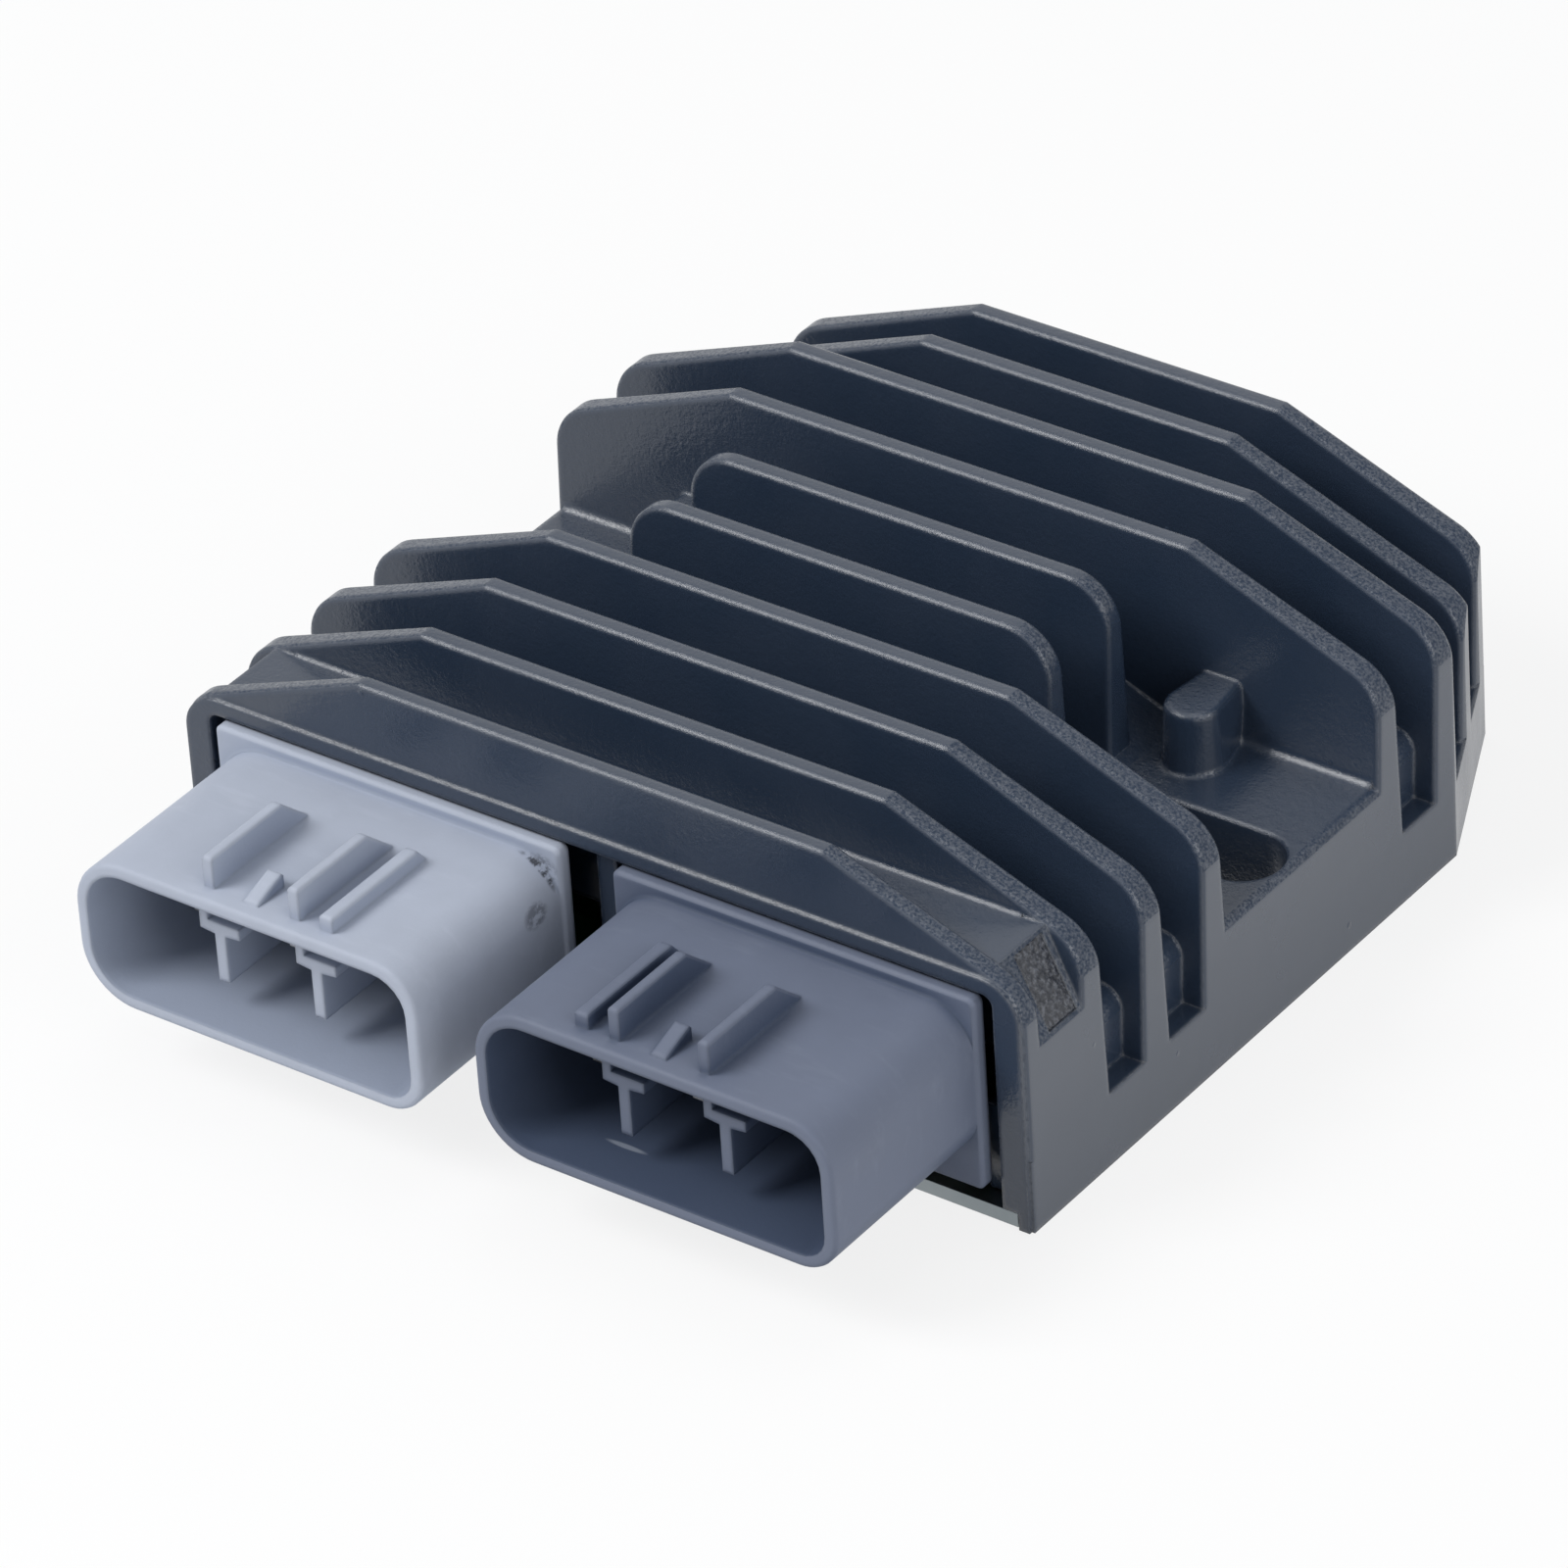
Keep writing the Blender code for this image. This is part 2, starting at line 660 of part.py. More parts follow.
def cavity_outline():
    """Plan of the electronics cavity, wide behind the connectors and narrow between the lugs."""
    front = FRONT + MOUTH_DEPTH - OVERLAP
    step = FRONT + FROM_FRONT_STEP
    end = FRONT + FROM_FRONT_CAVITY_END
    wide = CAVITY_FRONT_HALF
    narrow = CAVITY_REAR_HALF
    return mirrored([(wide, front), (wide, step), (narrow, step), (narrow, end)])


def plate_outline(inset):
    """Plan of the base plate: as the cavity, with a margin, and out to the front rim."""
    wide = PLATE_HALF - inset
    narrow = CAVITY_REAR_HALF + PLATE_MARGIN - inset
    step = FRONT + FROM_FRONT_STEP + PLATE_MARGIN - inset
    end = FRONT + FROM_FRONT_CAVITY_END + PLATE_MARGIN - inset
    return [(wide, step), (narrow, step), (narrow, end)]


def heatsink_housing(finish, home):
    depth = (FRONT + RIM_PROUD + FLUSH_STEP, REAR)
    made = block("heatsink_housing", (-HALF_W, HALF_W), depth, (0, BASE_H), finish, home)
    lug_side = HALF_W
    lugs = block("lugs", (-lug_side, lug_side), (fin_y(4), fin_y(7)), (ROOT_Z, CORE_H))
    round_edges(lugs, LUG_EDGE_R, lambda a, b: at_z(CORE_H)(a, b) and abs(a.x - b.x) < WELD)
    cavity = prism("cavity", cavity_outline(), "XY", LEDGE_Z - OVERLAP, CAVITY_TOP)
    recess = mirrored([(PLATE_HALF + GAP, FRONT - PAST)] + plate_outline(-GAP))
    plate_recess = prism("plate_recess", recess, "XY", -PAST, LEDGE_Z)
    join(made, core(), lugs, bay_roof(), hump(), front_rim(), ejector_post(-1), ejector_post(1), *fins())
    lug_reach = lug_side - LUG_EDGE_R - FLUSH_STEP
    join(
        made,
        foot_fillet(4, 1, CORE_H, LUG_FILLET_R, lug_reach),
        foot_fillet(7, -1, CORE_H, LUG_FILLET_R, lug_reach),
        foot_fillet(2, -1, ROOF_H, ROOF_FILLET_R, ROOF_HALF - ROOF_FILLET_END),
    )
    cut(made, rear_corner(-1), rear_corner(1), bolt_slot(-1), bolt_slot(1), gate_recess())
    cut(made, connector_mouth(), connector_bay(-1), connector_bay(1), cavity, plate_recess)
    return made


def base_plate(finish, home):
    outline = mirrored([(PLATE_HALF, FRONT + GAP)] + plate_outline(0))
    return prism("base_plate", outline, "XY", PLATE_LIFT, PLATE_TOP, finish, home)


# Connectors


def shell_outline(x, inset):
    """Section of the socket's shell: its left side is rounder than its right side."""
    left = x - SHELL_HALF + inset
    right = x + SHELL_HALF - inset
    low = SHELL_LOW + inset
    high = SHELL_HIGH - inset
    return rounded(
        [
            (left, low, SHELL_LEFT_R - inset),
            (right, low, SHELL_FOOT_R - inset),
            (right, high, SHELL_RIGHT_R - inset),
            (left, high, SHELL_LEFT_R - inset),
        ]
    )


def key_outline(x):
    """Section of a key inside the socket: a T, hung from the roof by a web at its left end."""
    bar = KEY_BAR_W / 2
    stem = KEY_STEM_W / 2
    shelf = KEY_HIGH - KEY_BAR_T
    roof = SHELL_HIGH - SHELL_WALL + OVERLAP / 2
    outline = [
        (stem, KEY_LOW),
        (stem, shelf - KEY_FILLET),
        (bar, shelf),
        (bar, KEY_HIGH),
        (KEY_WEB_W - bar, KEY_HIGH),
        (KEY_WEB_W - bar, roof),
        (-bar, roof),
        (-bar, shelf),
        (-stem, shelf - KEY_FILLET),
        (-stem, KEY_LOW),
    ]
    return [(x + u, z) for u, z in outline]


def ridge_outline(height, length, ramp):
    """Side view of a ridge on the socket's top, upright at the front and ramped at the back."""
    start = MOUTH_Y + RAIL_SETBACK
    low = SHELL_HIGH - OVERLAP / 2
    high = SHELL_HIGH + height
    ramp_start = start + length - ramp
    return [(start, low), (ramp_start + ramp * (high - low) / height, low), (ramp_start, high), (start, high)]


def wedge_outline():
    """Side view of the latch wedge, which rises to the back from a low step on the socket's top."""
    start = MOUTH_Y + WEDGE_SETBACK
    low = SHELL_HIGH - OVERLAP / 2
    end = start + WEDGE_L
    return [(start, low), (end, low), (end, SHELL_HIGH + WEDGE_H), (start, SHELL_HIGH + WEDGE_STEP)]


def ridge(name, x, width, outline):
    """Ridge with this side view. Its edges above the socket are rounded, but not the upright ones."""
    made = prism(name, outline, "YZ", x - width / 2, x + width / 2)
    upright = at_y(outline[0][0]), at_y(outline[1][0])

    def wanted(a, b):
        if min(a.z, b.z) > SHELL_HIGH:
            return True
        return max(a.z, b.z) > SHELL_HIGH and not (upright[0](a, b) or upright[1](a, b))

    return round_edges(made, RIDGE_EDGE_R, wanted)


def blade_ways(x):
    return [x + way * WAY_PITCH for way in (-1, 0, 1)]


def blade_hole(name, x):
    half_w = BLADE_W / 2 + GAP
    half_t = BLADE_T / 2 + GAP
    return block(
        name,
        (x - half_w, x + half_w),
        (FRONT - FLANGE_PROUD - PAST, FRONT + FROM_FRONT_BLADE_BEND),
        (BLADE_Z - half_t, BLADE_Z + half_t),
    )


def connector(name, x, rib_side, finish, home):
    """Socket with its flange: a rounded shell, keys between the blades, and ridges on its top."""
    flange_back = FRONT - FLANGE_PROUD + FLANGE_T
    made = prism(name, shell_outline(x, 0), "XZ", MOUTH_Y, flange_back - FLANGE_T / 2, finish, home)
    round_edges(made, SHELL_EDGE_R, at_y(MOUTH_Y))
    flange = prism(
        f"{name}_flange",
        box_outline(x - FLANGE_HALF, x + FLANGE_HALF, FLANGE_LOW, FLANGE_HIGH, FLANGE_R),
        "XZ",
        FRONT - FLANGE_PROUD,
        flange_back,
    )
    round_edges(flange, SHELL_EDGE_R, at_y(FRONT - FLANGE_PROUD), segments=1)
    plug = block(
        f"{name}_plug",
        (x - PLUG_HALF, x + PLUG_HALF),
        (flange_back - FLANGE_T / 2, flange_back + PLUG_T),
        (PLUG_LOW, PLUG_HIGH),
    )
    rail = ridge_outline(RAIL_H, RAIL_L, RAIL_RAMP)
    low_rib = ridge_outline(RIB_H, RAIL_L, RIB_RAMP)
    join(
        made,
        flange,
        plug,
        ridge(f"{name}_rail_left", x - RAIL_HALF_SPACING, RAIL_W, rail),
        ridge(f"{name}_rail_right", x + RAIL_HALF_SPACING, RAIL_W, rail),
        ridge(f"{name}_low_rib", x + rib_side * RIB_OFFSET, RIB_W, low_rib),
        ridge(f"{name}_wedge", x, WEDGE_W, wedge_outline()),
    )
    floor = flange_back - SOCKET_FLOOR_T
    cut(made, prism(f"{name}_socket", shell_outline(x, SHELL_WALL), "XZ", MOUTH_Y - PAST, floor))
    keys = [key_outline(x + side * WAY_PITCH / 2) for side in (-1, 1)]
    join(made, *[prism(f"{name}_key", key, "XZ", MOUTH_Y + KEY_SETBACK, floor + OVERLAP) for key in keys])
    cut(made, *[blade_hole(f"{name}_way", way) for way in blade_ways(x)])
    return made


def blade(name, x, finish, home):
    """Terminal bent from strip: a wide blade in the socket and a narrow tail down through the board."""
    tip = MOUTH_Y + BLADE_SETBACK
    bend = FRONT + FROM_FRONT_BLADE_BEND
    half = BLADE_T / 2
    side = [
        (tip, BLADE_Z - half),
        (bend - half, BLADE_Z - half),
        (bend - half, BOARD_Z - TAIL_OUT),
        (bend + half, BOARD_Z - TAIL_OUT),
        (bend + half, BLADE_Z + half),
        (tip, BLADE_Z + half),
    ]
    made = prism(name, side, "YZ", x - BLADE_W / 2, x + BLADE_W / 2, finish, home)
    notches = []
    for end in (-1, 1):
        across = sorted((x + end * TAIL_W / 2, x + end * (BLADE_W / 2 + OVERLAP)))
        height = (BOARD_Z - PAST, BOARD_TOP + GAP * 2)
        notches.append(block(f"{name}_notch", across, (bend - OVERLAP, bend + OVERLAP), height))
    cut(made, *notches)
    return made


# Electronics


def transistor_x(index):
    pitch = (2 * (CAVITY_FRONT_HALF - TRANSISTOR_MARGIN) - TRANSISTOR_W) / (TRANSISTORS - 1)
    return (index - (TRANSISTORS - 1) / 2) * pitch


def insulating_sheet(finish, home):
    half = CAVITY_FRONT_HALF - SHEET_MARGIN
    start = FRONT + FROM_FRONT_SHEET
    height = (SHEET_TOP - SHEET_T, SHEET_TOP)
    return block("insulating_sheet", (-half, half), (start, start + SHEET_D), height, finish, home)


def lead_x(x, index):
    return x + (index - 1) * LEAD_PITCH


def transistor(index, finish, home):
    """Flat power package: moulded body, metal tab behind it and three leads bent down to the board."""
    x = transistor_x(index)
    half = TRANSISTOR_W / 2
    front = TRANSISTOR_FRONT
    back = front + TRANSISTOR_BODY_D
    name = f"power_transistor_{index + 1}"
    across = (x - half, x + half)
    top = TRANSISTOR_TOP
    made = block(name, across, (front, back), (top - TRANSISTOR_T, top), finish, home)
    tab = block(f"{name}_tab", across, (back - OVERLAP, back + TRANSISTOR_TAB_D), (top - TAB_T, top))
    lead_z = top - TRANSISTOR_T / 2
    bend = front - LEAD_REACH
    side = [
        (front + OVERLAP, lead_z),
        (front + OVERLAP, lead_z + LEAD_T),
        (bend, lead_z + LEAD_T),
        (bend, BOARD_Z - TAIL_OUT),
        (bend + LEAD_T, BOARD_Z - TAIL_OUT),
        (bend + LEAD_T, lead_z),
    ]
    places = [lead_x(x, lead) for lead in range(3)]
    leads = [prism(f"{name}_lead", side, "YZ", at - LEAD_W / 2, at + LEAD_W / 2) for at in places]
    join(made, tab, *leads)
    return made


def board_hole(name, x, y, half_x, half_y):
    return block(name, (x - half_x, x + half_x), (y - half_y, y + half_y), (BOARD_Z - PAST, BOARD_TOP + PAST))


def circuit_board(finish, home):
    """Board with a hole for each tail and lead."""
    wide = CAVITY_FRONT_HALF - BOARD_MARGIN
    narrow = CAVITY_REAR_HALF - BOARD_MARGIN
    step = FRONT + FROM_FRONT_STEP - BOARD_MARGIN
    end = FRONT + FROM_FRONT_CAVITY_END - BOARD_MARGIN
    outline = mirrored([(wide, FRONT + FROM_FRONT_BOARD), (wide, step), (narrow, step), (narrow, end)])
    made = prism("circuit_board", outline, "XY", BOARD_Z, BOARD_TOP, finish, home)
    bend = FRONT + FROM_FRONT_BLADE_BEND
    tails = blade_ways(-CONN_X) + blade_ways(CONN_X)
    holes = [board_hole("tail_hole", x, bend, TAIL_W / 2 + GAP, BLADE_T / 2 + GAP) for x in tails]
    lead_y = TRANSISTOR_FRONT - LEAD_REACH + LEAD_T / 2
    for index in range(TRANSISTORS):
        for lead in range(3):
            x = lead_x(transistor_x(index), lead)
            holes.append(board_hole("lead_hole", x, lead_y, LEAD_W / 2 + GAP, LEAD_T / 2 + GAP))
    cut(made, *holes)
    return made


def control_chip(finish, home):
    """Moulded chip with its two rows of leads."""
    y = FRONT + FROM_FRONT_CHIP
    half_w = CHIP_W / 2
    half_d = CHIP_D / 2
    low = SEAT_Z + CHIP_LIFT
    high = CAVITY_TOP - CHIP_ROOM
    made = block("control_chip", (-half_w, half_w), (y - half_d, y + half_d), (low, high), finish, home)
    depth = (y - half_d - CHIP_LEAD_REACH, y + half_d + CHIP_LEAD_REACH)
    leads = []
    for index in range(CHIP_LEADS):
        x = (index - (CHIP_LEADS - 1) / 2) * CHIP_LEAD_PITCH
        across = (x - CHIP_LEAD_W / 2, x + CHIP_LEAD_W / 2)
        leads.append(block("chip_lead", across, depth, (SEAT_Z, (low + high) / 2)))
    join(made, *leads)
    return made


def can_capacitor(index, finish, home):
    """Electrolytic can lying on the board: a turned form with its rolled groove."""
    x = (index - 0.5) * CAN_SPACING
    profile = [
        (0, 0),
        (CAN_R - CAN_GROOVE, 0),
        (CAN_R, CAN_GROOVE),
        (CAN_R, CAN_GROOVE_AT - CAN_GROOVE),
        (CAN_R - CAN_GROOVE, CAN_GROOVE_AT),
        (CAN_R, CAN_GROOVE_AT + CAN_GROOVE),
        (CAN_R, CAN_L - CAN_GROOVE),
        (CAN_R - CAN_GROOVE, CAN_L),
        (0, CAN_L),
    ]
    mesh = bpy.data.meshes.new(f"can_capacitor_{index + 1}")
    edges = [(at, at + 1) for at in range(len(profile) - 1)]
    mesh.from_pydata([(radius, 0, height) for radius, height in reversed(profile)], edges, [])
    made = placed(mesh.name, mesh, finish, home)
    turn = made.modifiers.new("turned", "SCREW")
    turn.steps = turn.render_steps = 20
    turn.use_merge_vertices = True
    turn.merge_threshold = WELD
    made.rotation_euler = (math.radians(-90), 0, 0)
    made.location = (x, FRONT + FROM_FRONT_CANS, SEAT_Z + CAN_R)
    return made


def film_capacitor(index, finish, home):
    width = (2 * (CAVITY_REAR_HALF - FILM_MARGIN) - 2 * FILM_SPACE) / 3
    x = (index - 1) * (width + FILM_SPACE)
    y = FRONT + FROM_FRONT_FILMS
    half_w = width / 2
    half_d = FILM_D / 2
    top = CAVITY_TOP - FILM_ROOM
    name = f"film_capacitor_{index + 1}"
    made = block(name, (x - half_w, x + half_w), (y - half_d, y + half_d), (SEAT_Z, top), finish, home)
    return round_edges(made, FILM_EDGE_R, at_z(top))


def current_shunt(finish, home):
    """Bridge of resistance strip standing on the board."""
    y = FRONT + FROM_FRONT_SHUNT
    low = SEAT_Z
    half = SHUNT_SPAN / 2
    high = CAVITY_TOP - SHUNT_ROOM
    right = [(half - SHUNT_T, low), (half, low), (half, high)]
    left = [(-half, high), (-half, low), (-half + SHUNT_T, low)]
    inner = [(-half + SHUNT_T, high - SHUNT_T), (half - SHUNT_T, high - SHUNT_T)]
    return prism("current_shunt", right + left + inner, "XZ", y - SHUNT_W / 2, y + SHUNT_W / 2, finish, home)


def potting_layer(finish, home):
    """Resin under the board, up to the tails that stand out of it."""
    wide = CAVITY_FRONT_HALF - GAP
    narrow = CAVITY_REAR_HALF - GAP
    step = FRONT + FROM_FRONT_STEP - GAP
    end = FRONT + FROM_FRONT_CAVITY_END - GAP
    low = PLATE_TOP + GAP
    outline = mirrored([(wide, BAY_BACK), (wide, step), (narrow, step), (narrow, end)])
    return prism("potting_layer", outline, "XY", low, low + POTTING_T, finish, home)


def main():
    home = bpy.data.objects.new("regulator", None)
    PARTS.objects.link(home)
    black_casting = material("black_casting", (0.012, 0.014, 0.020), 0.38, 0.0)
    bare_sheet = material("bare_sheet", (0.55, 0.57, 0.57), 0.4, 1.0)
    light_plastic = material("light_plastic", (0.36, 0.40, 0.49), 0.55, 0.0)
    dark_plastic = material("dark_plastic", (0.115, 0.130, 0.175), 0.55, 0.0)
    tinned = material("tinned", (0.72, 0.71, 0.68), 0.3, 1.0)
    board_green = material("board_green", (0.02, 0.12, 0.06), 0.5, 0.0)
    chip_black = material("chip_black", (0.02, 0.02, 0.022), 0.5, 0.0)
    sheet_grey = material("sheet_grey", (0.5, 0.5, 0.48), 0.8, 0.0)
    can_sleeve = material("can_sleeve", (0.02, 0.025, 0.05), 0.4, 0.0)
    film_box = material("film_box", (0.45, 0.06, 0.03), 0.45, 0.0)
    resin = material("resin", (0.03, 0.028, 0.026), 0.35, 0.0)

    smooth(heatsink_housing(black_casting, home))
    base_plate(bare_sheet, home)
    smooth(connector("stator_connector", -CONN_X, 1, light_plastic, home))
    smooth(connector("output_connector", CONN_X, -1, dark_plastic, home))
    for side, name in ((-1, "stator_blade"), (1, "output_blade")):
        for way, x in enumerate(blade_ways(side * CONN_X), 1):
            blade(f"{name}_{way}", x, tinned, home)
    insulating_sheet(sheet_grey, home)
    for index in range(TRANSISTORS):
        transistor(index, chip_black, home)
    circuit_board(board_green, home)
    control_chip(chip_black, home)
    for index in range(2):
        smooth(can_capacitor(index, can_sleeve, home))
    for index in range(3):
        film_capacitor(index, film_box, home)
    current_shunt(tinned, home)
    potting_layer(resin, home)


for existing in list(bpy.data.objects):
    bpy.data.objects.remove(existing)
PARTS = collection("voltage_regulator_rectifier")
HELPERS = collection("cutters")
main()
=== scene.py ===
import math

import bpy
from mathutils import Matrix, Vector, noise


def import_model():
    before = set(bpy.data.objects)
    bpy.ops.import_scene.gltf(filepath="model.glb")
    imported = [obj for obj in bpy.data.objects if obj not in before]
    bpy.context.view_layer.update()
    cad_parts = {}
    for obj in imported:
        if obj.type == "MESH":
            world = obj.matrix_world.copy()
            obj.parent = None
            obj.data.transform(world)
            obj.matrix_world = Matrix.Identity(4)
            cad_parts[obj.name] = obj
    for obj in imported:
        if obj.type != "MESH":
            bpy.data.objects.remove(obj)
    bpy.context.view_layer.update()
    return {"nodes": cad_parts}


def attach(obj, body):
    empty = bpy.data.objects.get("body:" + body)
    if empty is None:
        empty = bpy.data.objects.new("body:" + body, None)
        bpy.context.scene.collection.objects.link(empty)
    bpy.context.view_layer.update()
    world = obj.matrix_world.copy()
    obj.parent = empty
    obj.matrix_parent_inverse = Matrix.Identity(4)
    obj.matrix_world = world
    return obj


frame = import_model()

# Everything is in metres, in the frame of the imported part: +Z up, sockets towards -Y.
MM = 0.001

# Camera, from the photo's own perspective: angles in degrees, lens and sensor in millimetres.
CAMERA_AT = Vector((0.52764, -0.68274, 0.59390))
CAMERA_AZIMUTH = 37.875
CAMERA_ELEVATION = 33.893
CAMERA_ROLL = 3.836
CAMERA_LENS = 237.9
CAMERA_SENSOR = 36.0

# Square lamps: name, azimuth and elevation in degrees, distance and width in metres, power in watts.
LAMPS = (
    ("key_box", -42, 46, 1.3, 0.6, 12.0),
    ("right_box", 80, 25, 1.2, 0.9, 5.5),
    ("top_box", 180, 78, 1.2, 0.5, 1.5),
)

# Stage. The glow is the share of plain white that the camera and reflections see on the floor.
WORLD_COLOUR = (0.94, 0.97, 1.0, 1.0)
WORLD_LEVEL = 0.40
FLOOR_SIZE = 6.0
FLOOR_DROP = 0.02 * MM
FLOOR_COLOUR = (0.82, 0.82, 0.82, 1.0)
FLOOR_ROUGHNESS = 0.9
FLOOR_GLOW = 0.82

# Broken-off casting gate, in its recess in the right slope of the roof behind the front fin.
# The slope starts at the corner and goes this far to the right and down.
GATE_CORNER = Vector((46.8, 0.0, 28.9)) * MM
GATE_RIGHT = 4.2 * MM
GATE_DOWN = 8.3 * MM
# Ends of the slab along the slope and along Y.
GATE_LOW, GATE_HIGH = 0.45 * MM, 8.72 * MM
GATE_FRONT, GATE_BACK = -30.95 * MM, -26.35 * MM
# Depths of its underside, rim and face under the slope. The face rises and falls by the next length.
GATE_FLOOR = 0.27 * MM
GATE_RIM = 0.20 * MM
GATE_FACE = 0.13 * MM
GATE_ROUGH = 0.10 * MM
GATE_LUMP = 0.6 * MM
GATE_STEPS = (64, 36)
# Edges that bend by more than this stay sharp.
GATE_SHARP = math.radians(50)

# Colours of the visible pieces. A pair is the range over which a surface is mottled.
PAINT = ((0.0205, 0.0335, 0.0590), (0.0275, 0.0405, 0.0670))
# Pale edge colour: thin paint from wear, and a painted highlight.
PAINT_WORN_AND_HIGHLIGHT = (0.22, 0.24, 0.28)
SCAR = ((0.009, 0.012, 0.020), (0.095, 0.103, 0.125))
SHEET = ((0.21, 0.24, 0.255), (0.30, 0.33, 0.345))
SHEET_LINES = (0.17, 0.185, 0.195)
TIN = ((0.70, 0.69, 0.66), (0.52, 0.50, 0.45))
MASK = ((0.020, 0.120, 0.050), (0.012, 0.070, 0.035))
DARK_MARK = (0.05, 0.055, 0.07)

# Height over which the paint's film gets glossier, from the base up to the core's top.
CORE_TOP = 16 * MM

# The two sockets. A dark mark has a centre, half sizes and a strength, and a scratch has no strength.
SOCKETS = {
    "stator_connector": {
        "name": "light_socket",
        "colour": (0.352, 0.385, 0.462),
        "light": (0.54, 0.58, 0.67),
        # Dark colour: painted shade for hollows and faces that turn down.
        "painted_shade": (0.30, 0.34, 0.43),
        "roughness": 0.55,
        "gloss": 0.5,
        "dark_marks": (
            ((-3.5 * MM, -40.5 * MM, 20.7 * MM), (1.2 * MM, 2.0 * MM, 1.6 * MM), 0.6),
            # Dark crescent along the join of the shell and the flange.
            ((-5.6 * MM, -37.1 * MM, 23.4 * MM), (3.2 * MM, 0.6 * MM, 2.6 * MM), 1.0),
        ),
    },
    "output_connector": {
        "name": "dark_socket",
        "colour": (0.117, 0.137, 0.192),
        "light": (0.22, 0.25, 0.31),
        # Dark colour: painted shade for hollows and faces that turn down.
        "painted_shade": (0.055, 0.075, 0.125),
        "roughness": 0.5,
        "gloss": 0.4,
        "scratches": (((16.9 * MM, -54.5 * MM, 9.4 * MM), (2.7 * MM, 0.4 * MM, 0.8 * MM)),),
    },
}

# Inner pieces: material, two tones, roughness, size of the patches, depth of the relief, nodes.
INNER_PIECES = (
    (
        "moulded_package", (0.018, 0.018, 0.020), (0.028, 0.028, 0.030), 0.45, 2 * MM, 0.01 * MM,
        [f"power_transistor_{index}" for index in range(1, 7)] + ["control_chip"],
    ),
    (
        "silicone_sheet", (0.42, 0.42, 0.40), (0.52, 0.52, 0.50), 0.7, 3 * MM, 0.02 * MM,
        ["insulating_sheet"],
    ),
    (
        "can_sleeve", (0.018, 0.022, 0.045), (0.03, 0.034, 0.06), 0.3, 3 * MM, 0.01 * MM,
        ["can_capacitor_1", "can_capacitor_2"],
    ),
    (
        "film_box", (0.38, 0.05, 0.025), (0.46, 0.07, 0.035), 0.35, 4 * MM, 0.01 * MM,
        ["film_capacitor_1", "film_capacitor_2", "film_capacitor_3"],
    ),
    (
        "potting_resin", (0.022, 0.020, 0.019), (0.035, 0.032, 0.030), 0.3, 6 * MM, 0.05 * MM,
        ["potting_layer"],
    ),
)
BLADES = [f"{side}_blade_{way}" for side in ("stator", "output") for way in (1, 2, 3)]

# Range in which most of a noise lies.
NOISE_RANGE = (0.3, 0.7)

# Places of the colour sockets on the Mix node.
MIX_INPUTS = (6, 7)
MIX_OUTPUT = 2


